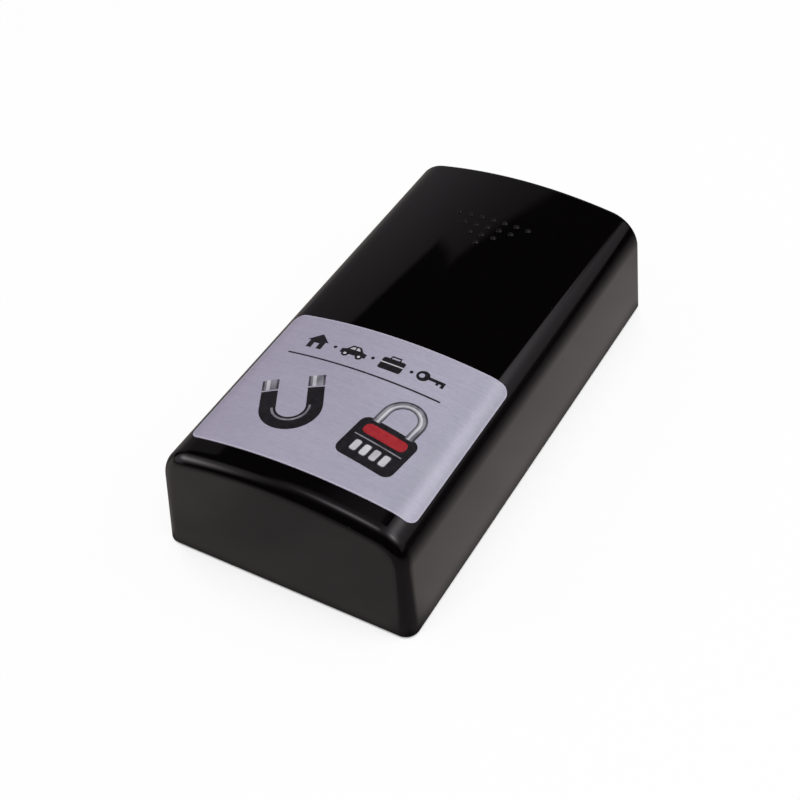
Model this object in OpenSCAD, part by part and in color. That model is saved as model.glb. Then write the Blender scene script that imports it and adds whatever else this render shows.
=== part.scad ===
// Magnetic key holder box: an arched, glossy cover that slides lengthwise off a tray with magnets in its underside.
//
// Frame: millimetres, +Z up, X across the box, Y along it. The origin is the middle of the underside, on the plane
// where the magnets touch the steel. The cover's closed end is at -Y and its open end at +Y.

/* [Cover] */
// Outer width of the cover at its lower edge
cover_w = 61; // [58:1:70]
// Outer length of the cover at its lower edge
cover_l = 113.5; // [105:0.5:130]
// Height of the cover from its lower edge to the crown of its top
cover_h = 28.4; // [26:0.2:36]
// Wall thickness of the cover
cover_wall = 2; // [1.6:0.1:2.4]
// Lean of the side walls towards the top, in degrees
side_draft = 3.3; // [1:0.1:5]
// Lean of the closed end towards the top, in degrees
end_lean = 5; // [2:0.5:7]
// Radius of the arched top
crown_r = 123; // [90:1:200]
// Radius of the two long shoulders
shoulder_r = 8.4; // [6:0.2:10]
// Radius round the edges of the closed end
end_fillet = 3; // [2.8:0.1:4]
// Radius on the rim of the open end
rim_r = 0.6; // [0.3:0.1:0.9]
// Gap between the cover's lower edge and the surface that the box is on
cover_lift = 0.5; // [0.4:0.1:1]

/* [Thumb grip] */
// Dots in the widest row; each later row has two fewer, so that the rows form an arrowhead
grip_columns = 7; // [3:2:9]
// Distance from one dot to the next, and from row to row
grip_pitch = 3; // [2.4:0.1:3.6]
// Distance from the open end to the widest row
grip_inset = 17.2; // [12:0.2:24]
// Diameter of a dot
dot_d = 1.5; // [1:0.1:2]
// Height of a dot above the top
dot_h = 0.4; // [0.2:0.05:0.6]

/* [Label] */
// Width of the label, measured round the arch
label_w = 54; // [40:0.5:56]
// Length of the label
label_l = 42; // [30:0.2:50]
// Thickness of the label
label_t = 0.2; // [0.1:0.05:0.4]
// Radius of the label's corners
label_r = 2.4; // [1:0.2:6]
// Distance from the closed end's lower edge to the label
label_inset = 8.8; // [8:0.1:14]
// How far the label sits off the centre line, because it is stuck on by hand
label_shift = 1; // [-1:0.1:1]

/* [Slide] */
// Side and end clearance between the tray and the cover
tray_clearance = 0.35; // [0.3:0.05:0.6]
// Clearance round the cover's tongues in the tray's grooves
slide_clearance = 0.3; // [0.25:0.05:0.5]
// How far each tongue stands in from the cover's side wall
tongue_reach = 1.8; // [1.4:0.1:2.4]
// Thickness of the tongues
tongue_t = 1.6; // [1.2:0.1:2]
// Distance from the open end to the tongues
tongue_inset = 8; // [5:0.5:14]
// Height of the catch bumps on the tongues, which stays under the slide clearance
catch_h = 0.2; // [0.1:0.05:0.2]

/* [Tray] */
// Wall thickness of the tray
tray_wall = 1.8; // [1.4:0.1:2.2]
// Thickness of the tray's floor over the magnet pockets
floor_t = 1.4; // [1:0.1:2.4]
// Height of the tray's rim above its floor
rim_h = 5; // [4.2:0.2:8]
// Thickness of the flange that keeps the cover down
flange_t = 1.4; // [1:0.1:1.8]
// Radius of the corners inside the tray
tray_corner_r = 4; // [2:0.5:8]
// How far the tray's end wall sits in from the cover's open end
end_recess = 0.5; // [0.3:0.1:1.5]

/* [Magnets] */
// Width of a magnet, across the box
magnet_w = 40; // [30:1:44]
// Length of a magnet, along the box
magnet_l = 20; // [14:1:24]
// Thickness of a magnet
magnet_t = 2.5; // [2:0.1:4]
// Distance from each end of the cover to the middle of the nearer magnet
magnet_inset = 25.75; // [22:0.25:32]
// How far the magnets stand below the plastic
magnet_proud = 0.3; // [0.2:0.1:0.3]
// Clearance round a magnet in its pocket
pocket_clearance = 0.2; // [0.1:0.05:0.4]
// Thickness of the steel plate behind each magnet
backing_t = 0.6; // [0.4:0.1:1]
// Thickness of the tape pad that holds each steel plate
tape_t = 0.3; // [0.2:0.1:0.6]

/* [Mat] */
// Thickness of the rubber mat on the tray's floor
mat_t = 1.5; // [1:0.1:3]
// Gap between the mat and the tray's walls
mat_gap = 0.4; // [0.2:0.1:1]

/* [Hidden] */

// Steps in the curved stretches of the cover
shoulder_steps = 8;
crown_steps = 7;
fillet_steps = 5;
inner_fillet_steps = 2;
rim_steps = 2;
corner_steps = 6;
past = 1;          // how far a cutting shape runs past what it cuts
far_away = 200;    // larger than the box in every direction

// The cover's section, in its own height above the lower edge. Every inset shares these two centres.
crown_z = cover_h - crown_r;
wall_foot = [cover_w / 2, 0] - shoulder_r * [cos(side_draft), sin(side_draft)];
wall_up = [-sin(side_draft), cos(side_draft)];
to_foot = wall_foot - [0, crown_z];
foot_along = to_foot * wall_up;
shoulder_c = wall_foot
    + wall_up * (sqrt(foot_along ^ 2 - to_foot * to_foot + (crown_r - shoulder_r) ^ 2) - foot_along);
meet_angle = atan2(shoulder_c[1] - crown_z, shoulder_c[0]);

// Depth of the tray's sides below the cover's outer face
tray_depth = cover_wall + tray_clearance;

// Heights above the surface
pocket_top = magnet_t + backing_t + tape_t;
floor_z = pocket_top + floor_t;
tongue_z = floor_z + slide_clearance;
flange_z = tongue_z + tongue_t + slide_clearance;
tray_top = max(floor_z + rim_h, flange_z + flange_t);

// Places along the box
closed_y = -cover_l / 2;
open_y = cover_l / 2;
end_wall_y = open_y - end_recess - tray_wall;
tray_inner_far = end_wall_y;
tray_inner_near = near_y(tray_top, tray_depth + tray_wall);
tongue_near = closed_y + end_fillet + cover_wall + tongue_z * tan(end_lean);
tongue_far = open_y - tongue_inset;

// Places across the box
tongue_tip = wall_x(tongue_z + tongue_t, cover_wall) - tongue_reach;
tray_outer_x = tongue_tip - slide_clearance;
tray_inner_x = tray_outer_x - tray_wall;

catch_r = 1.2;
catch_y = tongue_far - 4;
tray_chamfer = 2;
magnet_places = [closed_y + magnet_inset, open_y - magnet_inset];

// Half width of the cover at height z, at a depth of inset below its outer face
function wall_x(z, inset) = cover_w / 2 - inset / cos(side_draft) - (z - cover_lift) * tan(side_draft);

// Place along Y of the closed end's face at height z, at a depth of inset inside it
function near_y(z, inset) = closed_y + inset / cos(end_lean) + (z - cover_lift) * tan(end_lean);

// Right half of the section, from the lower edge to the crown; drop carries the walls on below the edge
function half_section(inset, drop) = concat(
    [[wall_x(-drop + cover_lift, inset), -drop]],
    [for (i = [0:shoulder_steps])
        let (a = side_draft + (meet_angle - side_draft) * i / shoulder_steps)
        shoulder_c + (shoulder_r - inset) * [cos(a), sin(a)]],
    [for (i = [1:crown_steps])
        let (a = meet_angle + (90 - meet_angle) * i / crown_steps)
        [0, crown_z] + (crown_r - inset) * [cos(a), sin(a)]]
);

// The whole section as [x, z] points at their height above the surface
function section(inset, drop = 0) =
    let (half = half_section(inset, drop), n = len(half))
    concat(
        [for (p = half) [p[0], p[1] + cover_lift]],
        [for (i = [n - 2:-1:0]) [-half[i][0], half[i][1] + cover_lift]]
    );

// A ring of the section at place y; a lean of 1 tilts it like the closed end, 0 leaves it upright
function ring(inset, y, lean, drop = 0) =
    [for (p = section(inset, drop)) [p[0], y + lean * (p[1] - cover_lift) * tan(end_lean), p[1]]];

// Distance across the box of a point that lies arc round the top from the crown line
function arc_x(arc) =
    let (side = sign(arc), s = abs(arc), crown_arc = crown_r * (90 - meet_angle) * PI / 180)
    side * (s <= crown_arc
        ? crown_r * sin(s / crown_r * 180 / PI)
        : shoulder_c[0] + shoulder_r * cos(meet_angle - (s - crown_arc) / shoulder_r * 180 / PI));

// Height of the top's face above the surface, on the crown
function crown_at(x) = cover_lift + crown_z + sqrt(crown_r ^ 2 - x ^ 2);

// Rectangle with round corners as a list of points
function round_rectangle(x0, x1, y0, y1, r) = [
    for (corner = [[x1 - r, y1 - r, 0], [x0 + r, y1 - r, 90], [x0 + r, y0 + r, 180], [x1 - r, y0 + r, 270]])
        for (i = [0:corner_steps])
            let (a = corner[2] + 90 * i / corner_steps)
            [corner[0] + r * cos(a), corner[1] + r * sin(a)]
];

// Closed skin over rings that all have the same number of points
module skin(rings) {
    n = len(rings[0]);
    points = [for (r = rings) each r];
    sides = [for (k = [0:len(rings) - 2]) for (i = [0:n - 1])
        let (a = k * n + i, b = k * n + (i + 1) % n)
        each [[a, b, a + n], [b, b + n, a + n]]];
    first = [for (i = [n - 1:-1:0]) i];
    last = [for (i = [0:n - 1]) (len(rings) - 1) * n + i];
    polyhedron(points, concat([first, last], sides), convexity = 6);
}

// A flat [x, z] outline carried along the box from y0 to y1
module along(y0, y1) {
    translate([0, y1, 0])
        rotate([90, 0, 0])
            linear_extrude(y1 - y0)
                children();
}

// A flat [y, z] outline carried across the box
module across(width) {
    rotate([90, 0, 90])
        linear_extrude(width, center = true)
            children();
}

// The space behind the closed end's face, at a depth of inset inside it
module behind_closed_end(inset) {
    across(far_away)
        polygon([
            [near_y(-far_away, inset), -far_away],
            [far_away, -far_away],
            [far_away, far_away],
            [near_y(far_away, inset), far_away],
        ]);
}

module cover_outside() {
    near = [for (i = [0:fillet_steps])
        let (a = 90 * i / fillet_steps)
        ring(end_fillet * (1 - sin(a)), closed_y + end_fillet * (1 - cos(a)), 1)];
    far = [for (i = [0:rim_steps])
        let (a = 90 * i / rim_steps)
        ring(rim_r * (1 - cos(a)), open_y - rim_r * (1 - sin(a)), 0)];
    skin(concat(near, far));
}

module cover_inside() {
    r = max(end_fillet - cover_wall, 0.4);
    near = [for (i = [0:inner_fillet_steps])
        let (a = 90 * i / inner_fillet_steps)
        ring(cover_wall + r * (1 - sin(a)), near_y(cover_lift, cover_wall) + r * (1 - cos(a)), 1, past)];
    skin(concat(near, [ring(cover_wall, open_y + past, 0, past)]));
}

// One tongue on the right side wall, with its catch bump
module tongue() {
    root = wall_x(tongue_z, cover_wall / 2);
    along(tongue_near, tongue_far)
        polygon([
            [root, tongue_z],
            [root, tongue_z + tongue_t],
            [tongue_tip, tongue_z + tongue_t],
            [tongue_tip, tongue_z],
        ]);
    translate([tongue_tip + catch_r - catch_h, catch_y, tongue_z])
        cylinder(r = catch_r, h = tongue_t, $fn = 32);
}

// One low dome of the thumb grip: the tip of a ball that is sunk in the wall
module dot() {
    ball_r = (dot_d ^ 2 / 4 + dot_h ^ 2) / (2 * dot_h);
    translate([0, 0, dot_h - ball_r])
        sphere(ball_r, $fn = 24);
}

module thumb_grip() {
    rows = (grip_columns + 1) / 2;
    for (row = [0:rows - 1])
        for (column = [0:grip_columns - 1 - 2 * row]) {
            x = (column - (grip_columns - 1) / 2 + row) * grip_pitch;
            translate([x, open_y - grip_inset - row * grip_pitch, crown_at(x)])
                rotate([0, asin(x / crown_r), 0])
                    dot();
        }
}

module cover() {
    color("#0b0b0d") {
        difference() {
            cover_outside();
            cover_inside();
        }
        for (side = [0, 1])
            mirror([side, 0, 0])
                tongue();
        thumb_grip();
    }
}

module label() {
    y0 = closed_y + label_inset;
    outline = [for (p = round_rectangle(-label_w / 2, label_w / 2, y0, y0 + label_l, label_r))
        [arc_x(p[0] + label_shift), p[1]]];
    color("#a9a5b4")
        intersection() {
            along(y0 - past, y0 + label_l + past)
                difference() {
                    polygon(section(-label_t));
                    polygon(section(0));
                }
            translate([0, 0, cover_h / 2])
                linear_extrude(cover_h)
                    polygon(outline);
        }
}

// The room that the cover leaves for the tray, just clear of its inner faces
module tray_room() {
    reach = wall_x(magnet_proud, tray_depth);
    near = near_y(magnet_proud, tray_depth);
    intersection() {
        along(-far_away, end_wall_y + tray_wall)
            polygon(section(tray_depth, past));
        behind_closed_end(tray_depth);
        translate([0, 0, magnet_proud])
            linear_extrude(far_away)
                polygon([
                    [reach - tray_chamfer, near],
                    [reach, near + tray_chamfer],
                    [reach, far_away],
                    [-reach, far_away],
                    [-reach, near + tray_chamfer],
                    [-reach + tray_chamfer, near],
                ]);
    }
}

// A level layer between two heights, out to half_width on each side
module layer(z0, z1, half_width) {
    translate([-half_width, -far_away, z0])
        cube([2 * half_width, 2 * far_away, z1 - z0]);
}

// Space for one magnet with its steel plate and tape, open below
module magnet_pocket(y) {
    w = magnet_w + 2 * pocket_clearance;
    l = magnet_l + 2 * pocket_clearance;
    translate([-w / 2, y - l / 2, -past])
        cube([w, l, pocket_top + past]);
}

// Space for the keys, between the rim's walls
module key_space() {
    translate([0, 0, floor_z])
        linear_extrude(tray_top)
            polygon(round_rectangle(
                -tray_inner_x, tray_inner_x, tray_inner_near, tray_inner_far, tray_corner_r));
}

// Notches in the rim's sides for the catch bumps of the closed cover
module catch_notches() {
    for (side = [-1, 1])
        translate([side * (tray_outer_x + catch_r - catch_h), catch_y, floor_z])
            cylinder(r = catch_r + catch_h / 2, h = flange_z - floor_z, $fn = 32);
}

// Floor, rim, the flange over the cover's tongues, and the wall that closes the cover's open end
module tray() {
    color("#141416")
        difference() {
            intersection() {
                tray_room();
                union() {
                    layer(0, floor_z, far_away);
                    layer(pocket_top, tray_top, tray_outer_x);
                    layer(flange_z, flange_z + flange_t, far_away);
                    translate([-far_away, end_wall_y, 0])
                        cube(2 * far_away);
                }
            }
            for (y = magnet_places)
                magnet_pocket(y);
            key_space();
            catch_notches();
        }
}

module mat() {
    color("#2c2c30")
        translate([0, 0, floor_z])
            linear_extrude(mat_t)
                polygon(round_rectangle(
                    -tray_inner_x + mat_gap, tray_inner_x - mat_gap,
                    tray_inner_near + mat_gap, tray_inner_far - mat_gap,
                    tray_corner_r - mat_gap));
}

// A flat plate over one magnet, from height z0
module pocket_plate(y, z0, thickness) {
    translate([-magnet_w / 2, y - magnet_l / 2, z0])
        cube([magnet_w, magnet_l, thickness]);
}

module magnet(y) {
    color("#3a3a3c")
        pocket_plate(y, 0, magnet_t);
}

module backing_plate(y) {
    color("#a8abae")
        pocket_plate(y, magnet_t, backing_t);
}

module tape_pad(y) {
    color("#d8d8d2")
        pocket_plate(y, magnet_t + backing_t, tape_t);
}

cover();
label();
tray();
mat();
magnet(magnet_places[0]);  // magnet_near
magnet(magnet_places[1]);  // magnet_far
backing_plate(magnet_places[0]);  // backing_plate_near
backing_plate(magnet_places[1]);  // backing_plate_far
tape_pad(magnet_places[0]);  // tape_pad_near
tape_pad(magnet_places[1]);  // tape_pad_far
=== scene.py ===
"""Looks for the magnetic key box.

The glossy cover with its printed label, and the tray with its mat and magnets, stand on a pale floor in a
studio that the gloss shows.
"""
import math

import bmesh
import bpy
from mathutils import Matrix, Vector


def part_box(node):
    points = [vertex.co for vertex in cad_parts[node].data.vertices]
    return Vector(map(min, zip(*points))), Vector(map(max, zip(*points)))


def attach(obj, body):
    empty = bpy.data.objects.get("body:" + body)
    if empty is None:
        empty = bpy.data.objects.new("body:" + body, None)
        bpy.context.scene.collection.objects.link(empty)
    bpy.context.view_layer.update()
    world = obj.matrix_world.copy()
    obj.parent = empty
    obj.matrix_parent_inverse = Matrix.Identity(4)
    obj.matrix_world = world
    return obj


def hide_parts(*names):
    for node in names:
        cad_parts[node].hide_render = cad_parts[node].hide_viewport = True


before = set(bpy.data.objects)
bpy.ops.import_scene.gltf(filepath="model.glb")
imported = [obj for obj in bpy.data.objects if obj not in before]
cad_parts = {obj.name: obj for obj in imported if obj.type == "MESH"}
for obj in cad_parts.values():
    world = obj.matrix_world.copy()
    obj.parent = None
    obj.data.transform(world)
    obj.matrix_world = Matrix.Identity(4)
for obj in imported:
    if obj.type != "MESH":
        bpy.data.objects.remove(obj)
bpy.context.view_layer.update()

MM = 0.001

# The cover's form, as in the CAD model
COVER_LOW, COVER_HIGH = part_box("cover")
HALF_WIDTH = COVER_HIGH.x
HALF_LENGTH = COVER_HIGH.y
LIFT = COVER_LOW.z
COVER_H = 28.4 * MM
WALL = 2 * MM
SIDE_DRAFT = math.radians(3.3)
END_LEAN = math.radians(5)
CROWN_R = 123 * MM
SHOULDER_R = 8.4 * MM
END_FILLET = 3 * MM
RIM_R = 0.6 * MM
INNER_FILLET = END_FILLET - WALL

# Steps of the smooth stretches, and the strip that keeps a flat face flat up to its rounded edge
SHOULDER_STEPS = 28
CROWN_STEPS = 24
FILLET_STEPS = 14
INNER_STEPS = 5
RIM_STEPS = 4
STRIP = 0.3 * MM

# Thumb grip: domes whose lowest ring is wider and sunk, so that each closes on the cover
GRIP_COLUMNS = 7
GRIP_PITCH = 3 * MM
GRIP_INSET = 17.2 * MM
DOT_R = 0.75 * MM
DOT_H = 0.4 * MM
DOT_SKIRT = 1.12
DOT_SINK = 0.04 * MM
DOT_RINGS = 7
DOT_SEGMENTS = 28

# Tongues inside the cover, which run in the tray's grooves a little over its floor, and their catch bumps
TONGUE_T = 1.6 * MM
TONGUE_REACH = 1.8 * MM
TONGUE_INSET = 8 * MM
TONGUE_RISE = 0.3 * MM
TONGUE_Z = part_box("mat")[0].z + TONGUE_RISE
CATCH_R = 1.2 * MM
CATCH_H = 0.2 * MM
CATCH_PLACE = 4 * MM
CATCH_FILL = 0.98

# Label: its cut edge slopes from the lip to the face over the width of the rim
LABEL_W = 54 * MM
LABEL_L = 42 * MM
LABEL_T = 0.2 * MM
LABEL_R = 2.4 * MM
LABEL_INSET = 8.8 * MM
LABEL_SHIFT = 1 * MM
LABEL_NEAR = -HALF_LENGTH + LABEL_INSET
LABEL_RIM = 0.35 * MM
LABEL_LIP = 0.04 * MM
LABEL_GAP = 0.01 * MM
LABEL_COLUMNS = 72
LABEL_CORNER_STEPS = 10
LABEL_SIDE_STEPS = 12

# Print: the least height that it stands proud of the label, and its depth in it
INK_T = 0.03 * MM
INK_SINK = 0.01 * MM

# Above this angle between two faces, the edge of a crisp piece stays sharp
SHARP_ANGLE = math.radians(50)


# ---------------------------------------------------------------- the cover's surface

CROWN_Z = COVER_H - CROWN_R


def shoulder_centre():
    """Centre of the right shoulder's arc and the angle at which the arc meets the crown."""
    foot = Vector((HALF_WIDTH - SHOULDER_R * math.cos(SIDE_DRAFT),
                   -SHOULDER_R * math.sin(SIDE_DRAFT) - CROWN_Z))
    up = Vector((-math.sin(SIDE_DRAFT), math.cos(SIDE_DRAFT)))
    along = foot.dot(up)
    reach = math.sqrt(along ** 2 - foot.dot(foot) + (CROWN_R - SHOULDER_R) ** 2) - along
    centre = foot + up * reach
    return Vector((centre.x, centre.y + CROWN_Z)), math.atan2(centre.y, centre.x)


SHOULDER_C, MEET = shoulder_centre()
CROWN_ARC = CROWN_R * (math.pi / 2 - MEET)


def wall_x(z, inset):
    """Half width of the cover at height z above its lower edge."""
    return HALF_WIDTH - inset / math.cos(SIDE_DRAFT) - z * math.tan(SIDE_DRAFT)


def half_profile(inset):
    """Points from the right foot to the crown, at a depth below the outer face."""
    top_of_wall = SHOULDER_C.y + (SHOULDER_R - inset) * math.sin(SIDE_DRAFT)
    points = [(wall_x(z, inset), z) for z in (0, STRIP, top_of_wall / 2, top_of_wall - STRIP)]
    for i in range(SHOULDER_STEPS + 1):
        a = SIDE_DRAFT + (MEET - SIDE_DRAFT) * i / SHOULDER_STEPS
        points.append((SHOULDER_C.x + (SHOULDER_R - inset) * math.cos(a),
                       SHOULDER_C.y + (SHOULDER_R - inset) * math.sin(a)))
    for i in range(1, CROWN_STEPS + 1):
        a = MEET + (math.pi / 2 - MEET) * i / CROWN_STEPS
        points.append(((CROWN_R - inset) * math.cos(a), CROWN_Z + (CROWN_R - inset) * math.sin(a)))
    return points


def ring(inset, y, leaning):
    """The outline from the right foot over the crown to the left foot, upright or leaning like the end."""
    half = half_profile(inset)
    whole = half + [(-x, z) for x, z in reversed(half[:-1])]
    lean = math.tan(END_LEAN) if leaning else 0
    return [Vector((x, y + z * lean, z + LIFT)) for x, z in whole]


def on_cover(arc, y, height=0.0):
    """A point on the top, arc round it from the crown line, with its outward normal."""
    side = 1 if arc >= 0 else -1
    if abs(arc) <= CROWN_ARC:
        a, centre, radius = math.pi / 2 - abs(arc) / CROWN_R, Vector((0, CROWN_Z)), CROWN_R
    else:
        a, centre, radius = MEET - (abs(arc) - CROWN_ARC) / SHOULDER_R, SHOULDER_C, SHOULDER_R
    x = centre.x + (radius + height) * math.cos(a)
    z = centre.y + (radius + height) * math.sin(a)
    return Vector((side * x, y, z + LIFT)), Vector((side * math.cos(a), 0, math.sin(a)))


# ---------------------------------------------------------------- materials

class Nodes:
    """A small helper that adds nodes to a tree and links them. A value is a socket or a number."""

    def __init__(self, tree):
        self.tree = tree
        tree.nodes.clear()

    def add(self, kind, inputs=None, **settings):
        node = self.tree.nodes.new(kind)
        for name, value in settings.items():
            setattr(node, name, value)
        for name, value in (inputs or {}).items():
            if isinstance(value, bpy.types.NodeSocket):
                self.tree.links.new(value, node.inputs[name])
            else:
                node.inputs[name].default_value = value
        return node

    def math(self, operation, a, b=0.0, c=0.0):
        return self.add("ShaderNodeMath", {0: a, 1: b, 2: c}, operation=operation).outputs[0]

    def combined(self, operation, values):
        result = values[0]
        for value in values[1:]:
            result = self.math(operation, result, value)
        return result

    def plus(self, *values):
        return self.combined("ADD", values)

    def minus(self, a, b):
        return self.math("SUBTRACT", a, b)

    def times(self, *values):
        return self.combined("MULTIPLY", values)

    def largest(self, *values):
        return self.combined("MAXIMUM", values)

    def ramp(self, factor, stops):
        """A colour that goes straight from stop to stop; each stop is a place and a colour."""
        node = self.add("ShaderNodeValToRGB", {"Fac": factor})
        elements = node.color_ramp.elements
        while len(elements) < len(stops):
            elements.new(0.5)
        for element, (place, colour) in zip(elements, stops):
            element.position = place
            element.color = (*colour, 1)
        return node.outputs["Color"]

    def level(self, value, low, high, out_low=0.0, out_high=1.0, kind="SMOOTHSTEP"):
        """out_low up to low and out_high from high on, with a soft step between."""
        node = self.add("ShaderNodeMapRange", {"Value": value, "From Min": low, "From Max": high,
                                               "To Min": out_low, "To Max": out_high},
                        interpolation_type=kind)
        return node.outputs["Result"]

    def slope(self, value, low, high, out_low=0.0, out_high=1.0):
        """As level, with a straight slope between."""
        return self.level(value, low, high, out_low, out_high, "LINEAR")

    def place(self, scale=(1, 1, 1)):
        """The point on the piece, in metres, stretched by scale."""
        spot = self.add("ShaderNodeTexCoord").outputs["Object"]
        return self.add("ShaderNodeMapping", {"Vector": spot, "Scale": scale}).outputs["Vector"]

    def noise(self, vector, scale, detail=2.0, roughness=0.5):
        """Noise around 0.5, with about as many features to the metre as scale says."""
        node = self.add("ShaderNodeTexNoise", {"Vector": vector, "Scale": scale, "Detail": detail,
                                               "Roughness": roughness})
        return node.outputs["Fac"]

    def bump(self, height, distance, strength):
        return self.add("ShaderNodeBump", {"Height": height, "Distance": distance,
                                           "Strength": strength}).outputs["Normal"]


def material(name, inputs, build):
    """A Principled material; build(nodes) returns what drives its varying sockets."""
    made = bpy.data.materials.new(name)
    made.use_nodes = True
    nodes = Nodes(made.node_tree)
    shader = nodes.add("ShaderNodeBsdfPrincipled", inputs)
    for socket, source in build(nodes).items():
        nodes.tree.links.new(source, shader.inputs[socket])
    output = nodes.add("ShaderNodeOutputMaterial")
    nodes.tree.links.new(shader.outputs[0], output.inputs[0])
    return made


def polished_black(low, high):
    """Black moulding with a roughness from low to high.

    It has faint waves, fine hairlines and a few specks of dust, the last two rougher than the rest.
    """
    black, dust = (0.0016, 0.0012, 0.0015), (0.030, 0.029, 0.030)
    hairline_haze, dust_haze = 0.02, 0.2

    def build(nodes):
        place = nodes.place()
        waves = nodes.noise(place, 55, 1)
        hairlines = nodes.level(nodes.noise(nodes.place((1, 0.05, 1)), 1700, 2), 0.60, 0.72)
        specks = nodes.level(nodes.noise(place, 1300, 1), 0.81, 0.86)
        smear = nodes.slope(nodes.noise(place, 90, 3), 0.35, 0.75, low, high)
        worn = nodes.math("MULTIPLY_ADD", hairlines, hairline_haze, smear)
        return {
            "Base Color": nodes.ramp(specks, [(0, black), (1, dust)]),
            "Roughness": nodes.math("MULTIPLY_ADD", specks, dust_haze, worn),
            "Normal": nodes.bump(waves, 0.02 * MM, 0.5),
        }
    return build


def moulded_black(nodes):
    """Black moulding with the fine texture of a spark-eroded mould."""
    place = nodes.place()
    grain = nodes.noise(place, 2300, 3, 0.6)
    patches = nodes.noise(place, 70, 3)
    return {
        "Base Color": nodes.ramp(patches, [(0.3, (0.009, 0.009, 0.0095)), (0.8, (0.016, 0.016, 0.0165))]),
        "Roughness": nodes.slope(patches, 0.3, 0.8, 0.42, 0.54),
        "Normal": nodes.bump(grain, 0.04 * MM, 0.6),
    }


def brushed_silver(nodes):
    """Brushed foil: streaks across the box, small glints, faint bands, and a painted sheen, lighter to the
    right.
    """
    streaks = nodes.noise(nodes.place((0.03, 1, 0.03)), 4200, 3, 0.65)
    glints = nodes.noise(nodes.place((0.4, 1, 0.4)), 2100, 2, 0.6)
    bands = nodes.noise(nodes.place((0.3, 1, 0.3)), 160, 2)
    mixed = nodes.math("MULTIPLY_ADD", glints, 0.4, nodes.times(bands, 0.15))
    mixed = nodes.math("MULTIPLY_ADD", streaks, 0.45, mixed)
    tone = nodes.ramp(mixed, [(0.30, (0.438, 0.401, 0.534)), (0.70, (0.561, 0.521, 0.665))])
    # Painted sheen: the foil's colour is multiplied by a ramp across the cover, lighter to the right, darker
    # and less lavender again over the shoulder, in place of the key light and its reflection there.
    x = nodes.add("ShaderNodeSeparateXYZ", {0: nodes.place()}).outputs[0]
    painted_sheen = nodes.ramp(nodes.slope(x, -HALF_WIDTH, HALF_WIDTH),
                       [(0.06, (0.87, 0.87, 0.87)), (0.50, (0.917, 0.940, 0.917)),
                        (0.82, (0.945, 1.0, 0.95)), (0.94, (0.855, 0.917, 0.848))])
    # Of a colour mix node, input 0 is the share, 6 and 7 are the colours, and output 2 is the result
    colour = nodes.add("ShaderNodeMix", {0: 1.0, 6: tone, 7: painted_sheen}, data_type="RGBA", blend_type="MULTIPLY")
    return {
        "Base Color": colour.outputs[2],
        "Roughness": nodes.slope(mixed, 0.3, 0.7, 0.34, 0.46),
        "Normal": nodes.bump(glints, 0.006 * MM, 0.5),
    }


def printed_solid(thin, thick):
    """A solid print, its colour between that of a thin and a thick coat of ink."""
    def build(nodes):
        coat = nodes.noise(nodes.place(), 900, 3)
        return {"Base Color": nodes.ramp(coat, [(0.3, thin), (0.8, thick)]),
                "Normal": nodes.bump(coat, 0.004 * MM, 0.4)}
    return build


def printed_tone(low, high):
    """Halftone print that wanders a little between two tones along the metal it shows."""
    def build(nodes):
        tone = nodes.noise(nodes.place((1, 0.5, 1)), 420, 3)
        return {"Base Color": nodes.ramp(tone, [(0.36, low), (0.64, high)])}
    return build


def label_edge(nodes):
    """The cut edge of the foil and its backing."""
    fibre = nodes.noise(nodes.place(), 3000, 2)
    return {"Base Color": nodes.ramp(fibre, [(0.3, (0.42, 0.39, 0.49)), (0.7, (0.51, 0.48, 0.59))])}


def mat_rubber(nodes):
    """Crumbly rubber with some dust."""
    place = nodes.place()
    crumbs = nodes.noise(place, 1800, 3, 0.6)
    dust = nodes.noise(place, 60, 4)
    return {
        "Base Color": nodes.ramp(dust, [(0.3, (0.020, 0.020, 0.022)), (0.8, (0.045, 0.044, 0.044))]),
        "Roughness": nodes.slope(dust, 0.3, 0.8, 0.62, 0.80),
        "Normal": nodes.bump(crumbs, 0.05 * MM, 0.6),
    }


def magnet_coating(nodes):
    """A thin dark coat over ground ferrite, whose grinding lines and pores show through, with small chips."""
    place = nodes.place()
    lines = nodes.noise(nodes.place((0.08, 1, 1)), 5200, 2, 0.6)
    pores = nodes.noise(place, 2600, 3, 0.7)
    chips = nodes.level(nodes.noise(place, 800, 2, 0.6), 0.70, 0.76)
    tone = nodes.math("MULTIPLY_ADD", lines, 0.6, nodes.times(pores, 0.4))
    worn = nodes.minus(tone, nodes.times(chips, 0.25))
    return {
        "Base Color": nodes.ramp(worn, [(0.25, (0.030, 0.030, 0.033)), (0.5, (0.058, 0.058, 0.061)),
                                        (0.75, (0.085, 0.085, 0.088))]),
        "Roughness": nodes.slope(tone, 0.3, 0.7, 0.40, 0.56),
        "Normal": nodes.bump(worn, 0.03 * MM, 0.5),
    }


def zinc_plate(nodes):
    """Zinc plating, patchy, with the rolling lines of the sheet."""
    lines = nodes.noise(nodes.place((0.03, 1, 1)), 3000, 3)
    patches = nodes.noise(nodes.place(), 260, 3)
    return {
        "Base Color": nodes.ramp(patches, [(0.3, (0.50, 0.50, 0.52)), (0.8, (0.62, 0.62, 0.63))]),
        "Roughness": nodes.slope(lines, 0.3, 0.7, 0.26, 0.42),
    }


def tape_foam(nodes):
    """Off-white foam with small cells."""
    cells = nodes.noise(nodes.place(), 2600, 3, 0.7)
    return {"Base Color": nodes.ramp(cells, [(0.3, (0.58, 0.58, 0.54)), (0.7, (0.76, 0.76, 0.72))]),
            "Normal": nodes.bump(cells, 0.05 * MM, 0.7)}


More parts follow.
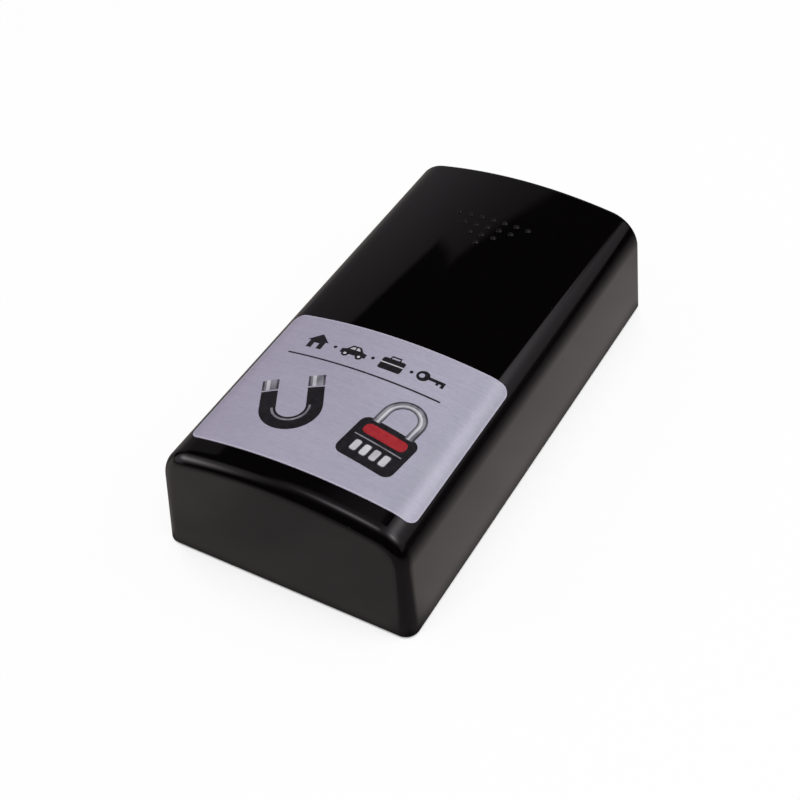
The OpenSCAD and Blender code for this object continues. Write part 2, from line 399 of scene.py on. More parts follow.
GLOSS = material("gloss_black", {"IOR": 1.5}, polished_black(0.022, 0.05))
GRIP = material("grip_black", {"IOR": 1.5, "Specular IOR Level": 0.38}, polished_black(0.42, 0.50))
MOULDED = material("moulded_black", {"IOR": 1.48}, moulded_black)
SILVER = material("label_silver", {"Metallic": 0.2, "Anisotropic": 0.5, "Coat Weight": 0.5,
                                   "Coat Roughness": 0.1}, brushed_silver)
EDGE = material("label_edge", {"Roughness": 0.5}, label_edge)
BLACK_INK = material("print_black", {"Roughness": 0.32},
                     printed_solid((0.008, 0.007, 0.009), (0.020, 0.018, 0.022)))
RED_INK = material("print_red", {"Roughness": 0.32},
                   printed_solid((0.31, 0.014, 0.022), (0.40, 0.028, 0.036)))
DARK_INK = material("print_dark", {"Roughness": 0.34},
                    printed_tone((0.036, 0.034, 0.044), (0.094, 0.090, 0.108)))
GREY_INK = material("print_grey", {"Roughness": 0.34},
                    printed_tone((0.145, 0.140, 0.165), (0.29, 0.28, 0.32)))
LIGHT_INK = material("print_light", {"Roughness": 0.34},
                     printed_tone((0.45, 0.44, 0.48), (0.61, 0.60, 0.63)))
RUBBER = material("mat_rubber", {}, mat_rubber)
MAGNET = material("magnet_coating", {}, magnet_coating)
ZINC = material("zinc_plate", {"Metallic": 1.0}, zinc_plate)
TAPE = material("tape_foam", {"Roughness": 0.85}, tape_foam)


# ---------------------------------------------------------------- mesh helpers

def piece(name, bm, materials, body, replaces=(), crisp=False):
    """Turns a bmesh into a piece of the object that rides on a body. A crisp piece keeps its sharp edges."""
    bmesh.ops.recalc_face_normals(bm, faces=bm.faces[:])
    mesh = bpy.data.meshes.new(name)
    bm.to_mesh(mesh)
    bm.free()
    for polygon in mesh.polygons:
        polygon.use_smooth = True
    if crisp:
        mesh.set_sharp_from_angle(angle=SHARP_ANGLE)
    for used in materials:
        mesh.materials.append(used)
    made = bpy.data.objects.new(name, mesh)
    bpy.context.scene.collection.objects.link(made)
    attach(made, body)
    if replaces:
        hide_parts(*replaces)
    return made


def soften(thing, width):
    """Small rounded edges wherever two faces meet sharply."""
    bevel = thing.modifiers.new("soft_edges", "BEVEL")
    bevel.width = width
    bevel.segments = 3
    bevel.limit_method = "ANGLE"
    bevel.angle_limit = math.radians(35)
    normals = thing.modifiers.new("flat_faces", "WEIGHTED_NORMAL")
    normals.keep_sharp = True


def grid(bm, rows, flip=False, slot=0):
    """Quads between rows of points, with a material slot; returns the rows of vertices."""
    made = [[bm.verts.new(p) for p in row] for row in rows]
    for low, high in zip(made, made[1:]):
        for i in range(len(low) - 1):
            corners = [low[i], low[i + 1], high[i + 1], high[i]]
            bm.faces.new(corners[::-1] if flip else corners).material_index = slot
    return made


# ---------------------------------------------------------------- cover

def closed_end(face, inset, radius, steps):
    """Rings of the rounded closed end, with its foot at face, and of the walls as far as the middle."""
    rows = []
    for i in range(steps + 1):
        a = math.pi / 2 * i / steps
        rows.append(ring(inset + radius * (1 - math.sin(a)), face + radius * (1 - math.cos(a)), True))
    rows.append(ring(inset, face + radius + STRIP, True))
    rows.append(ring(inset, 0, False))
    return rows


def outer_rows():
    rows = [ring(END_FILLET + STRIP, -HALF_LENGTH, True)]
    rows += closed_end(-HALF_LENGTH, 0, END_FILLET, FILLET_STEPS)
    rows.append(ring(0, HALF_LENGTH - RIM_R - STRIP, False))
    for i in range(RIM_STEPS + 1):
        a = math.pi / 2 * i / RIM_STEPS
        rows.append(ring(RIM_R * (1 - math.cos(a)), HALF_LENGTH - RIM_R * (1 - math.sin(a)), False))
    return rows


def inner_rows():
    rows = closed_end(-HALF_LENGTH + WALL / math.cos(END_LEAN), WALL, INNER_FILLET, INNER_STEPS)
    rows.append(ring(WALL, HALF_LENGTH, False))
    return rows


def cover_shell():
    """The cover as one closed shell, gloss outside and textured inside."""
    bm = bmesh.new()
    outside = grid(bm, outer_rows())
    inside = grid(bm, inner_rows(), flip=True, slot=1)
    bm.faces.new(outside[0][::-1])
    bm.faces.new(inside[0]).material_index = 1
    for i in range(len(outside[0]) - 1):
        bm.faces.new([outside[-1][i], outside[-1][i + 1], inside[-1][i + 1], inside[-1][i]])
    underside = ([row[0] for row in reversed(outside)] + [row[-1] for row in outside]
                 + [row[-1] for row in reversed(inside)] + [row[0] for row in inside])
    bm.faces.new(underside)
    shell = piece("cover_shell", bm, [GLOSS, MOULDED], "sliding_cover", ["cover"])
    soften(shell, 0.25 * MM)


cover_shell()


def thumb_grip():
    """Low domes in rows of seven, five, three and one."""
    bm = bmesh.new()
    ball_r = (DOT_R ** 2 + DOT_H ** 2) / (2 * DOT_H)
    spread = math.asin(DOT_R / ball_r)
    for row in range((GRIP_COLUMNS + 1) // 2):
        for column in range(GRIP_COLUMNS - 2 * row):
            arc = (column - (GRIP_COLUMNS - 1) / 2 + row) * GRIP_PITCH
            foot, normal = on_cover(arc, HALF_LENGTH - GRIP_INSET - row * GRIP_PITCH)
            turn = Vector((0, 0, 1)).rotation_difference(normal).to_matrix().to_4x4()
            seat = Matrix.Translation(foot) @ turn
            tip = bm.verts.new(seat @ Vector((0, 0, DOT_H)))
            last = None
            for k in range(1, DOT_RINGS + 1):
                a = spread * k / DOT_RINGS
                radius, height = ball_r * math.sin(a), ball_r * math.cos(a) - ball_r + DOT_H
                if k == DOT_RINGS:
                    radius, height = DOT_R * DOT_SKIRT, -DOT_SINK
                loop = [bm.verts.new(seat @ Vector((radius * math.cos(b), radius * math.sin(b), height)))
                        for b in (2 * math.pi * j / DOT_SEGMENTS for j in range(DOT_SEGMENTS))]
                for j in range(DOT_SEGMENTS):
                    after = (j + 1) % DOT_SEGMENTS
                    if last:
                        bm.faces.new([last[j], loop[j], loop[after], last[after]])
                    else:
                        bm.faces.new([tip, loop[j], loop[after]])
                last = loop
            bm.faces.new(last[::-1])
    piece("thumb_grip_dots", bm, [GRIP], "sliding_cover")


thumb_grip()


def add_box(bm, low, high):
    made = bmesh.ops.create_cube(bm, size=1)
    size = high - low
    middle = (high + low) / 2
    for vert in made["verts"]:
        vert.co = Vector((vert.co.x * size.x, vert.co.y * size.y, vert.co.z * size.z)) + middle


def tongues():
    """A tongue on each side, rooted in the cover's wall, with a round catch bump near its far end."""
    z = TONGUE_Z - LIFT
    tip = wall_x(z + TONGUE_T, WALL) - TONGUE_REACH
    root = wall_x(z, WALL / 2)
    near = -HALF_LENGTH + END_FILLET + WALL + TONGUE_Z * math.tan(END_LEAN)
    far = HALF_LENGTH - TONGUE_INSET
    for side, name in ((1, "right"), (-1, "left")):
        bm = bmesh.new()
        add_box(bm, Vector((min(side * tip, side * root), near, TONGUE_Z)),
                Vector((max(side * tip, side * root), far, TONGUE_Z + TONGUE_T)))
        seat = Matrix.Translation((side * (tip + CATCH_R - CATCH_H), far - CATCH_PLACE,
                                   TONGUE_Z + TONGUE_T / 2))
        bmesh.ops.create_cone(bm, cap_ends=True, segments=40, radius1=CATCH_R, radius2=CATCH_R,
                              depth=TONGUE_T * CATCH_FILL, matrix=seat)
        soften(piece("tongue_" + name, bm, [MOULDED], "sliding_cover"), 0.2 * MM)


tongues()


# ---------------------------------------------------------------- label and its print

def label_rows(height, inset=0.0):
    """Rows of points over the label's rounded rectangle, at a height above the cover."""
    rows = []
    radius = LABEL_R - inset
    half = LABEL_W / 2 - inset
    length = LABEL_L - 2 * inset
    corner = [radius * (1 - math.cos(math.pi / 2 * i / LABEL_CORNER_STEPS))
              for i in range(LABEL_CORNER_STEPS + 1)]
    side = [radius + (length - 2 * radius) * i / LABEL_SIDE_STEPS for i in range(1, LABEL_SIDE_STEPS)]
    places = corner + side + [length - place for place in reversed(corner)]
    for place in places:
        depth = min(place, length - place)
        cut = radius - math.sqrt(max(radius ** 2 - (radius - depth) ** 2, 0)) if depth < radius else 0
        rows.append([on_cover(LABEL_SHIFT + (half - cut) * (2 * j / LABEL_COLUMNS - 1),
                              LABEL_NEAR + inset + place, height)[0] for j in range(LABEL_COLUMNS + 1)])
    return rows


def outline(rows):
    """The border of a grid of vertices, once round."""
    right = [row[-1] for row in rows[1:-1]]
    left = [row[0] for row in rows[1:-1]]
    return rows[0] + right + rows[-1][::-1] + left[::-1]


def label():
    """The foil with its cut edge: a face, a back, and between them the border of a third grid, the lip."""
    bm = bmesh.new()
    face = grid(bm, label_rows(LABEL_T, LABEL_RIM))
    back = grid(bm, label_rows(LABEL_GAP), flip=True, slot=1)
    lip = grid(bm, label_rows(LABEL_T - LABEL_LIP), slot=1)
    border = outline(lip)
    inner = outline(face)
    keep = set(border)
    bmesh.ops.delete(bm, geom=[v for row in lip for v in row if v not in keep], context="VERTS")
    bmesh.ops.delete(bm, geom=[f for f in bm.faces if all(v in keep for v in f.verts)], context="FACES_ONLY")
    low = outline(back)
    count = len(border)
    for i in range(count):
        j = (i + 1) % count
        bm.faces.new([inner[i], border[i], border[j], inner[j]]).material_index = 1
        bm.faces.new([border[i], low[i], low[j], border[j]]).material_index = 1
    piece("label_foil", bm, [SILVER, EDGE], "sliding_cover", ["label"], crisp=True)


label()


def turned(points, centre, angle):
    """Points turned by an angle in degrees and moved to a centre."""
    c, s = math.cos(math.radians(angle)), math.sin(math.radians(angle))
    return [(centre[0] + x * c - y * s, centre[1] + x * s + y * c) for x, y in points]


def arc_points(radius, start, stop, steps, centre=(0, 0)):
    """Points along an arc, with its angles in degrees."""
    return [(centre[0] + radius * math.cos(math.radians(a)), centre[1] + radius * math.sin(math.radians(a)))
            for a in (start + (stop - start) * i / steps for i in range(steps + 1))]


def rounded(width, height, radius, centre=(0, 0)):
    """A rectangle with round corners, round its own centre."""
    x, y = width / 2 - radius, height / 2 - radius
    points = []
    for cx, cy, start in ((x, y, 0), (-x, y, 90), (-x, -y, 180), (x, -y, 270)):
        points += arc_points(radius, start, start + 90, 6, (centre[0] + cx, centre[1] + cy))
    return points


def ink(name, shapes, used, height):
    """A printed area. Each shape is a list of loops in millimetres from the label's near left corner.

    It is cut into strips a millimetre wide, so that it bends with the cover.
    """
    bm = bmesh.new()
    for loops in shapes:
        edges = []
        for loop in loops:
            verts = [bm.verts.new((x, y, 0)) for x, y in loop]
            edges += [bm.edges.new((verts[i - 1], verts[i])) for i in range(len(verts))]
        bmesh.ops.triangle_fill(bm, use_beauty=True, edges=edges)
    for k in range(1, int(LABEL_W / MM)):
        bmesh.ops.bisect_plane(bm, geom=bm.verts[:] + bm.edges[:] + bm.faces[:], plane_co=(k, 0, 0),
                               plane_no=(1, 0, 0))
    if bm.faces[:][0].normal.z < 0:
        bmesh.ops.reverse_faces(bm, faces=bm.faces[:])
    made = bmesh.ops.extrude_face_region(bm, geom=bm.faces[:])
    raised = {v for v in made["geom"] if isinstance(v, bmesh.types.BMVert)}
    for vert in bm.verts:
        lift = height if vert in raised else 0
        vert.co = on_cover(LABEL_SHIFT - LABEL_W / 2 + vert.co.x * MM, LABEL_NEAR + vert.co.y * MM,
                           LABEL_T - INK_SINK + lift)[0]
    piece(name, bm, [used], "sliding_cover", crisp=True)


def disc(radius, centre=(0, 0), steps=24):
    return arc_points(radius, 0, 360 - 360 / steps, steps - 1, centre)


def band(path, width, shift=0.0):
    """Outline of a strip of the given width along a path, moved sideways by shift."""
    left, right = [], []
    for i, point in enumerate(path):
        before, after = Vector(path[max(i - 1, 0)]), Vector(path[min(i + 1, len(path) - 1)])
        ahead = (after - before).normalized()
        side = Vector((-ahead.y, ahead.x))
        left.append(tuple(Vector(point) + side * (shift + width / 2)))
        right.append(tuple(Vector(point) + side * (shift - width / 2)))
    return left + right[::-1]


def horseshoe():
    """A horseshoe magnet's bend and legs, and the paths of its two tips."""
    middle, leg, gap, tip = 5.0, 5.4, 0.4, 3.2
    bend = ([(-middle, leg), (-middle, leg / 2)] + arc_points(middle, 180, 360, 40)
            + [(middle, leg / 2), (middle, leg)])
    foot = leg + gap
    return bend, [[(x, foot), (x, foot + tip / 2), (x, foot + tip)] for x in (-middle, middle)]


def pictograms():
    """House, car, case and key, each round its own centre, as black loops and as light loops on top."""
    house = [(-2.7, 0.2), (0, 2.6), (2.7, 0.2), (1.9, 0.2), (1.9, -2.1), (0.65, -2.1), (0.65, -0.4),
             (-0.65, -0.4), (-0.65, -2.1), (-1.9, -2.1), (-1.9, 0.2)]
    car = [(-3.1, -1.2), (-3.1, 0.0), (-2.0, 0.35), (-1.1, 1.6), (0.9, 1.6), (2.0, 0.35), (3.1, 0.0),
           (3.1, -1.2)]
    windows = [[(-1.35, 0.4), (-0.8, 1.15), (-0.15, 1.15), (-0.15, 0.4)],
               [(0.2, 0.4), (0.2, 1.15), (0.7, 1.15), (1.25, 0.4)]]
    axles = [(-1.7, -1.2), (1.7, -1.2)]
    case = rounded(5.4, 3.5, 0.5, (0, -0.4))
    handle = band([(-1.1, 1.2), (-1.1, 2.0), (1.1, 2.0), (1.1, 1.2)], 0.45)
    seam = rounded(5.4, 0.3, 0.1, (0, -0.2))
    bow = [disc(1.5, (-2.0, 0)), disc(0.65, (-2.3, 0), 16)]
    blade = [(-0.8, 0.4), (3.2, 0.4), (3.2, -1.3), (2.5, -1.3), (2.5, -0.45), (1.9, -0.45), (1.9, -1.0),
             (1.3, -1.0), (1.3, -0.45), (-0.8, -0.45)]
    return [
        ([[house]], []),
        ([[car]] + [[disc(0.85, axle)] for axle in axles],
         windows + [disc(0.35, axle, 12) for axle in axles]),
        ([[case], [handle]], [seam]),
        ([bow, [blade]], []),
    ]


def at(loops, centre, angle=0.0):
    """Loops turned by an angle and moved to a centre."""
    return [turned(loop, centre, angle) for loop in loops]


def label_print():
    """Generic signs: a magnet and a lock side by side, and a row of small pictograms over them."""
    black, dark, grey, light, red = [], [], [], [], []

    # The magnet: a black bend with a shine along it, and bare metal tips
    spot, angle, limb = (16.5, 14.5), 28, 3.6
    bend, tips = horseshoe()
    black.append(at([band(bend, limb)], spot, angle))
    grey.append(at([band(bend[2:-2], 0.5, 1.0)], spot, angle))
    for tip in tips:
        dark.append(at([band(tip, limb)], spot, angle))
        grey.append(at([band(tip, 2.7)], spot, angle))
        light.append(at([band(tip, 0.8, 0.5)], spot, angle))

    # The lock: a metal shackle, and a black body with a red field, a line and four wheels
    spot, angle = (38.5, 15.0), -7
    shackle = [(4.1, 2.8)] + arc_points(4.1, 0, 180, 32, (0, 6.4)) + [(-4.1, 2.8)]
    dark.append(at([band(shackle, 2.1)], spot, angle))
    grey.append(at([band(shackle, 1.4, 0.1)], spot, angle))
    light.append(at([band(shackle, 0.5, 0.25)], spot, angle))
    black.append(at([rounded(14, 11.4, 2.0, (0, -2.4))], spot, angle))
    red.append(at([rounded(10.4, 2.8, 1.2, (0, 0.5))], spot, angle))
    grey.append(at([rounded(11.6, 0.3, 0.1, (0, -2.0))], spot, angle))
    for x in (-3.6, -1.2, 1.2, 3.6):
        light.append(at([rounded(1.5, 2.9, 0.5, (x, -4.6))], spot, angle))
        dark.append(at([rounded(1.9, 3.3, 0.6, (x, -4.6))], spot, angle))

    # The pictograms, with a point between each two and a line below
    first, pitch, row = 10.6, 9.4, 34.4
    for k, (solid, on_top) in enumerate(pictograms()):
        centre = (first + pitch * k, row)
        black += [at(loops, centre) for loops in solid]
        light += [at([loop], centre) for loop in on_top]
        if k:
            black.append(at([disc(0.42, (-pitch / 2, -0.2), 12)], centre))
    black.append([rounded(37.5, 0.42, 0.2, (24.7, 29.6))])

    # An ink that lies on others stands higher than they do, so that it shows
    for name, shapes, used, height in (
            ("print_black", black, BLACK_INK, 1.0), ("print_dark", dark, DARK_INK, 1.3),
            ("print_red", red, RED_INK, 1.5), ("print_grey", grey, GREY_INK, 1.6),
            ("print_light", light, LIGHT_INK, 1.9)):
        ink(name, shapes, used, INK_T * height)


label_print()


# ---------------------------------------------------------------- tray, mat and magnets

def dress(node, used, edge):
    """A CAD node keeps its shape and gets a finish and small rounded edges."""
    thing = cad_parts[node]
    for slot in thing.material_slots:
        slot.material = used
    soften(thing, edge)


dress("tray", MOULDED, 0.2 * MM)
for end in ("near", "far"):
    dress("magnet_" + end, MAGNET, 0.3 * MM)
    dress("backing_plate_" + end, ZINC, 0.08 * MM)
    dress("tape_pad_" + end, TAPE, 0.05 * MM)


def mat():
    """A rubber mat with rounded ribs along it, in the space of the CAD mat."""
    low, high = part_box("mat")
    corner = 3.6 * MM
    rib_h, rib_w, pitch = 0.45 * MM, 1.3 * MM, 2.6 * MM
    root, fullness, steps = 0.05 * MM, 0.6, 10
    border, ramp = 0.8 * MM, 0.5 * MM
    base_top = high.z - rib_h
    bm = bmesh.new()
    middle = (low + high) / 2
    plan = rounded((high.x - low.x) / MM, (high.y - low.y) / MM, corner / MM)
    points = [Vector((middle.x + x * MM, middle.y + y * MM, low.z)) for x, y in plan]
    base = bm.faces.new([bm.verts.new(p) for p in points])
    made = bmesh.ops.extrude_face_region(bm, geom=[base])
    for vert in (v for v in made["geom"] if isinstance(v, bmesh.types.BMVert)):
        vert.co.z = base_top
    count = int((high.x - low.x - rib_w) / pitch / 2)
    for k in range(-count, count + 1):
        x = k * pitch
        edge = (high.x - low.x) / 2 - abs(x) - rib_w / 2
        cut = corner - math.sqrt(max(corner ** 2 - (corner - edge) ** 2, 0)) if edge < corner else 0
        reach = (high.y - low.y) / 2 - cut - border
        section = [(rib_w / 2 * math.cos(a), -root + (rib_h + root) * math.sin(a) ** fullness)
                   for a in (math.pi * i / steps for i in range(steps + 1))]
        rows = [[Vector((middle.x + x + dx, middle.y + y, base_top + dz * (1 if abs(y) < reach else 0)))
                 for dx, dz in section] for y in (-reach, -reach + ramp, reach - ramp, reach)]
        strip = grid(bm, rows)
        bm.faces.new([row[0] for row in strip] + [row[-1] for row in reversed(strip)])
    piece("mat_ribbed", bm, [RUBBER], "base", ["mat"], crisp=True)


mat()


# ---------------------------------------------------------------- studio

# The camera that the photograph's outline fits, in millimetres and degrees
CAMERA_PLACE = (130.838, -203.899, 240.233)
CAMERA_TURN = (45.7185, 3.9245, 29.7757)
FOCAL_PIXELS = 1478.5
PHOTO_PIXELS = 800
SENSOR = 36.0

# The floor. Its openness is 1 where nothing within reach stands over it: below the low value it shows plain
# paper to the camera, and above the high one mostly white
FLOOR_RADIUS = 3.0
FLOOR_DROP = 0.05 * MM
PAPER_COLOUR = (0.90, 0.90, 0.90, 1)
OPENNESS_REACH = 60 * MM
OPENNESS_LOW = 0.10
OPENNESS_HIGH = 0.70
WHITE_SHARE = 0.94

# Even light on matt surfaces, and the tints of what the gloss shows
FILL = 0.41
PAPER_TINT = (1.07, 0.97, 0.96, 1)
STUDIO_TINT = (1.04, 0.97, 1.02, 1)

# Painted light: brightness of the paper in the gloss, a pool that falls off with distance from the box in
# millimetres
PAINTED_PAPER_FALL = ((0, 0.52), (10, 0.475), (20, 0.42), (30, 0.345), (40, 0.27),
              (50, 0.21), (70, 0.16), (100, 0.11), (150, 0.075), (250, 0.035))
PAPER_REACH = PAINTED_PAPER_FALL[-1][0] * MM

# Softboxes in the gloss: azimuth, elevation, half width and half height in degrees, brightness, flatness
RIGHT_SOFTBOXES = (
    (46.6, 48.1, 12.4, 11.3, 1.3, 1.17),
    (87.0, 53.1, 12.1, 10.9, 3.74, 0.78),
    (55.7, 68.7, 34.9, 53.3, 0.29, 3.2),
)
LEFT_SOFTBOXES = (
    (-119.8, 27.8, 11.4, 9.1, 2.85, 1.1),
    (-116.4, 21.4, 22.0, 34.0, 0.49, 3.3),
    (-132.6, 76.5, 9.4, 7.8, 1.92, 1),
)

# The pale screen, the wall and the dark room in the gloss: brightnesses, and reaches in degrees, each a low
# side with its softness and a high side with its softness
SCREEN = 0.196
SCREEN_WIDE = (8, 6, 105.6, 8)
SCREEN_HIGH = (10.5, 2.5, 48.2, 2.5)
WALL_WIDE = (-80, 4.5, 2, 6)
WALL_LOWER = 0.225
WALL_UPPER = 0.075
DARK_ROOM = 0.006

# The slanted edge that cuts off the light from the right: its azimuth at elevation 0, its slant in degrees
# of azimuth for each degree of elevation, and half the width of its soft border
CUT_AZIMUTH = 48.34
CUT_SLANT = -0.56
CUT_SOFT = 1.2


def camera():
    data = bpy.data.cameras.new("camera")
    data.sensor_width = SENSOR
    data.lens = FOCAL_PIXELS / PHOTO_PIXELS * SENSOR
    data.clip_start = 0.01
    data.clip_end = 20
    made = bpy.data.objects.new("camera", data)
    made.location = Vector(CAMERA_PLACE) * MM + Vector((0, 0, LIFT))
    made.rotation_euler = [math.radians(a) for a in CAMERA_TURN]
    bpy.context.scene.collection.objects.link(made)
    bpy.context.scene.camera = made


def direction(azimuth, elevation):
    """Unit vector: azimuth 0 is +Y, 90 is +X."""
    a, e = math.radians(azimuth), math.radians(elevation)
    return Vector((math.sin(a) * math.cos(e), math.cos(a) * math.cos(e), math.sin(e)))


def softbox(name, azimuth, elevation, distance, width, height, radiance):
    """A soft area lamp that faces the object. Gloss shows the softboxes of the surroundings instead."""
    data = bpy.data.lights.new(name, "AREA")
    data.shape = "RECTANGLE"
    data.size, data.size_y = width, height
    data.energy = radiance * math.pi * width * height
    made = bpy.data.objects.new(name, data)
    aim = direction(azimuth, elevation)
    made.location = aim * distance
    made.rotation_euler = aim.to_track_quat("Z", "Y").to_euler()
    made.visible_glossy = False
    bpy.context.scene.collection.objects.link(made)


def painted_paper_light(nodes):
    """Painted light and shade of the paper as the gloss shows it, by place around the box: pools of light and
    the box's shadow, set as a brightness, not cast by the lamps.
    """
    axes = nodes.add("ShaderNodeSeparateXYZ", {0: nodes.place()}).outputs
    x, y = axes[0], axes[1]
    beside = nodes.minus(nodes.math("ABSOLUTE", x), HALF_WIDTH)
    behind = nodes.minus(y, HALF_LENGTH)
    before = nodes.minus(nodes.times(y, -1), HALF_LENGTH)
    away = nodes.math("DIVIDE", nodes.largest(beside, behind), PAPER_REACH)
    fall = nodes.ramp(away, [(distance * MM / PAPER_REACH, (bright,) * 3) for distance, bright in PAINTED_PAPER_FALL])
    # Painted light: bright on the right of the box and behind it
    right = nodes.times(fall, nodes.level(x, -20 * MM, 30 * MM, 0.4, 1), nodes.level(y, -58 * MM, -44 * MM),
                        nodes.slope(y, -30 * MM, 60 * MM, 1.03, 0.94))
    # Painted light: less bright and uneven in front of it
    uneven = nodes.plus(nodes.level(x, -36 * MM, -20 * MM, 0.24, -0.10),
                        nodes.level(x, -12 * MM, 2 * MM, 0, 0.12))
    uneven = nodes.math("MULTIPLY_ADD", uneven, nodes.level(before, 5 * MM, 12 * MM), 1)
    front = nodes.times(nodes.level(before, 25 * MM, 160 * MM, 0.335, 0.03),
                        nodes.level(x, 22 * MM, 32 * MM, 1, 0),
                        nodes.level(y, -58 * MM, -50 * MM, 1, 0), uneven)
    # Painted light: dim on its left, and dimmer all round farther off
    left = nodes.times(nodes.level(x, -45 * MM, -20 * MM, 0.21, 0), nodes.level(y, -60 * MM, 0, 0.6, 1))
    round_about = nodes.level(away, 0, 1, 0.17, 0.02)
    light = nodes.largest(nodes.plus(right, front), left, round_about)
    # Painted shadow: dark under the box, where the box would shade the paper
    outside = nodes.level(nodes.largest(beside, behind, before), -1 * MM, 2.6 * MM, 0.15, 1)
    clouds = nodes.slope(nodes.noise(nodes.place(), 45, 3, 0.6), 0.3, 0.7, 0.94, 1.06)
    return nodes.times(light, outside, clouds)


def floor():
    """A pale floor.

    To the camera it is white where it is open and plain paper where it is closed in. To matt surfaces it is
    plain paper, and to the gloss it glows with painted light and a painted shadow of the box, by place.
    """
    bm = bmesh.new()
    bmesh.ops.create_circle(bm, cap_ends=True, segments=96, radius=FLOOR_RADIUS)
    mesh = bpy.data.meshes.new("floor")
    bm.to_mesh(mesh)
    bm.free()
    made = bpy.data.objects.new("floor", mesh)
    made.location.z = -FLOOR_DROP
    bpy.context.scene.collection.objects.link(made)
    paint = bpy.data.materials.new("floor_paper")
    paint.use_nodes = True
    nodes = Nodes(paint.node_tree)
    path = nodes.add("ShaderNodeLightPath").outputs
    paper = nodes.add("ShaderNodeBsdfDiffuse", {"Color": PAPER_COLOUR})
    white = nodes.add("ShaderNodeEmission", {"Color": (1, 1, 1, 1), "Strength": 1.0})
    # The paper's painted light and painted shadow, which only the gloss sees
    in_gloss = nodes.add("ShaderNodeEmission", {"Color": PAPER_TINT, "Strength": painted_paper_light(nodes)})
    direct = nodes.largest(path["Is Camera Ray"], path["Is Transmission Ray"])
    openness = nodes.add("ShaderNodeAmbientOcclusion", {"Distance": OPENNESS_REACH}, samples=8).outputs["AO"]
    share = nodes.times(direct, nodes.level(openness, OPENNESS_LOW, OPENNESS_HIGH, 0, WHITE_SHARE))
    seen = nodes.add("ShaderNodeMixShader", {0: share, 1: paper.outputs[0], 2: white.outputs[0]})
    mixed = nodes.add("ShaderNodeMixShader",
                      {0: path["Is Glossy Ray"], 1: seen.outputs[0], 2: in_gloss.outputs[0]})
    nodes.add("ShaderNodeOutputMaterial", {"Surface": mixed.outputs[0]})
    mesh.materials.append(paint)


def glow(nodes, spot, azimuth, elevation, wide, high, strength, flatness):
    """A softbox in the surroundings: brightest in the middle, with soft edges, wide and high in degrees."""
    axis = direction(azimuth, elevation)
    across = Vector((axis.y, -axis.x, 0)).normalized()
    up = axis.cross(across)
    offsets = []
    for edge, reach in ((across, wide), (up, high)):
        offset = nodes.add("ShaderNodeVectorMath", {0: spot, 1: edge / math.sin(math.radians(reach))},
                           operation="DOT_PRODUCT").outputs["Value"]
        offsets.append(nodes.times(offset, offset))
    away = nodes.math("POWER", nodes.plus(*offsets), flatness)
    fall = nodes.math("POWER", math.e, nodes.times(away, -1))
    facing = nodes.add("ShaderNodeVectorMath", {0: spot, 1: axis}, operation="DOT_PRODUCT").outputs["Value"]
    return nodes.times(fall, nodes.math("GREATER_THAN", facing, 0), strength)


def window(nodes, value, low, low_soft, high, high_soft):
    """1 between low and high, 0 outside, with soft edges."""
    return nodes.times(nodes.level(value, low - low_soft, low + low_soft),
                       nodes.level(value, high - high_soft, high + high_soft, 1, 0))


def pale_screen(nodes, azimuth, elevation):
    """Brightness of the pale screen under the softboxes at the back right, less its notch low on the left."""
    screen = nodes.times(window(nodes, azimuth, *SCREEN_WIDE), window(nodes, elevation, *SCREEN_HIGH))
    notch = nodes.times(nodes.level(azimuth, 31.5, 33.9, 1, 0), nodes.level(elevation, 34, 39, 1, 0))
    return nodes.times(screen, nodes.math("MULTIPLY_ADD", notch, -SCREEN, SCREEN))


def back_wall(nodes, azimuth, elevation):
    """Brightness of the wall at the back left, whose top rises to the right."""
    top = nodes.plus(nodes.slope(azimuth, -35.5, -31.5, 34, 38.2), nodes.slope(azimuth, -31, 0, 0, 3.2))
    under = nodes.level(nodes.minus(elevation, top), -0.6, 0.6, 1, 0)
    return nodes.times(under, window(nodes, azimuth, *WALL_WIDE), nodes.slope(azimuth, -55.4, -41.4, 0.55, 1),
                       nodes.slope(elevation, 23, 39.5, WALL_LOWER, WALL_UPPER))


def cut_off(nodes, azimuth, elevation):
    """The share of the light from the right that is cut off: past the slanted edge, and up to a height."""
    edge = nodes.math("MULTIPLY_ADD", elevation, CUT_SLANT, CUT_AZIMUTH)
    past = nodes.level(nodes.minus(azimuth, edge), -CUT_SOFT, CUT_SOFT, 1, 0)
    top = nodes.plus(nodes.slope(azimuth, -70, -35, 60, 51), nodes.level(azimuth, -14, -6, 0, 7))
    shade = nodes.largest(nodes.level(nodes.minus(elevation, top), -2, 5, 1, 0),
                          nodes.level(azimuth, -70, -10, 0, 0.28))
    return nodes.times(past, shade, nodes.math("GREATER_THAN", azimuth, -100))


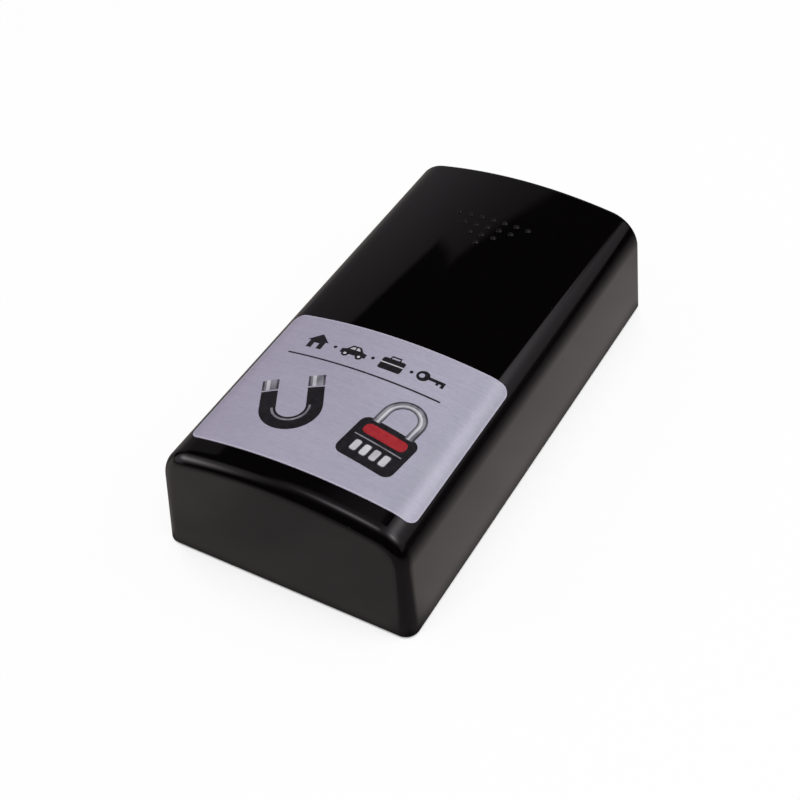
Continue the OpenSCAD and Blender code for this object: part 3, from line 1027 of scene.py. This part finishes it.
def studio_in_gloss(nodes, spot):
    """Brightness of the studio by direction, as the gloss shows it."""
    axes = nodes.add("ShaderNodeSeparateXYZ", {0: spot}).outputs
    azimuth = nodes.math("DEGREES", nodes.math("ARCTAN2", axes[0], axes[1]))
    elevation = nodes.math("DEGREES", nodes.math("ARCSINE", axes[2]))
    right = [glow(nodes, spot, *seen) for seen in RIGHT_SOFTBOXES]
    right = nodes.plus(pale_screen(nodes, azimuth, elevation), *right)
    right = nodes.times(right, nodes.minus(1, cut_off(nodes, azimuth, elevation)))
    left = [glow(nodes, spot, *seen) for seen in LEFT_SOFTBOXES]
    return nodes.plus(right, *left, back_wall(nodes, azimuth, elevation), DARK_ROOM)


def surroundings():
    """White to the camera, an even fill for matt surfaces, and a dark studio with softboxes for gloss."""
    world = bpy.data.worlds.new("studio")
    world.use_nodes = True
    bpy.context.scene.world = world
    nodes = Nodes(world.node_tree)
    spot = nodes.add("ShaderNodeTexCoord").outputs["Generated"]
    path = nodes.add("ShaderNodeLightPath").outputs
    studio = nodes.add("ShaderNodeBackground",
                       {"Color": STUDIO_TINT, "Strength": studio_in_gloss(nodes, spot)})
    fill = nodes.add("ShaderNodeBackground", {"Color": (1, 1, 1, 1), "Strength": FILL})
    white = nodes.add("ShaderNodeBackground", {"Color": (1, 1, 1, 1), "Strength": 1.0})
    lit = nodes.add("ShaderNodeMixShader",
                    {0: path["Is Glossy Ray"], 1: fill.outputs[0], 2: studio.outputs[0]})
    direct = nodes.largest(path["Is Camera Ray"], path["Is Transmission Ray"])
    shown = nodes.add("ShaderNodeMixShader", {0: direct, 1: lit.outputs[0], 2: white.outputs[0]})
    nodes.add("ShaderNodeOutputWorld", {"Surface": shown.outputs[0]})


camera()
floor()
surroundings()
softbox("key_softbox", azimuth=78, elevation=60, distance=0.9, width=0.95, height=0.72, radiance=2.62)
softbox("front_softbox", azimuth=-119, elevation=30, distance=0.9, width=0.50, height=0.44, radiance=2.35)

scene = bpy.context.scene
scene.view_settings.view_transform = "Standard"
